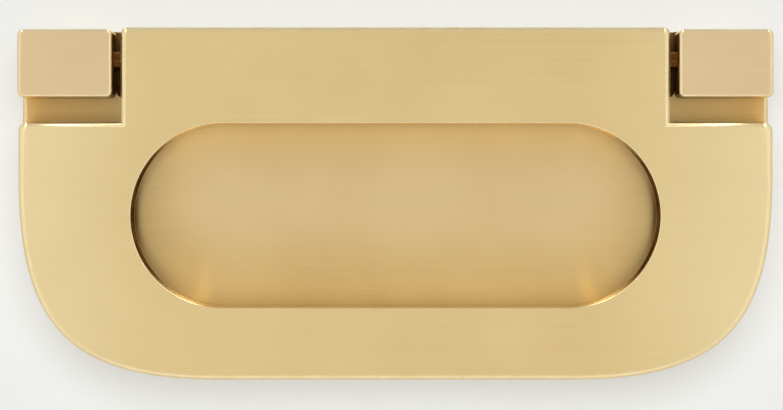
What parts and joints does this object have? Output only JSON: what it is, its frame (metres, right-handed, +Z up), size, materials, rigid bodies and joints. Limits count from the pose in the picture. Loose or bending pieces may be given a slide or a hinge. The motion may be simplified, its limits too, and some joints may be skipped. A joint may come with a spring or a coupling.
{
  "type": "ring pull",
  "caption": "Flat drop-leaf ring pull with an obround finger slot, hinged on pins between square corner blocks on a recessed back plate, screwed on from behind the drawer front.",
  "frame": {"origin": "on the back face that lies against the drawer front, midway between the two fixing holes", "axes": "+X to the right across the pull, +Z up, -Y out of the drawer front towards the user"},
  "size_m": [0.08, 0.0093, 0.0373],
  "materials": {
    "plate_brass": "satin, brushed lengthways",
    "block_brass": "satin, brushed lengthways",
    "pin_brass": "drawn and plain",
    "leaf_brass": "satin, brushed lengthways"
  },
  "bodies": {
    "base": {"back_plate": "plate_brass", "left_hinge_block": "block_brass", "right_hinge_block": "block_brass", "left_hinge_pin": "pin_brass", "right_hinge_pin": "pin_brass"},
    "leaf": {"slotted_leaf": "leaf_brass"}
  },
  "joints": [
    {"name": "leaf_swing", "type": "hinge", "parent": "base", "child": "leaf", "pos_m": [0, -0.0063, 0.0003], "axis": [-1, 0, 0], "range_deg": [0, 180]}
  ]
}
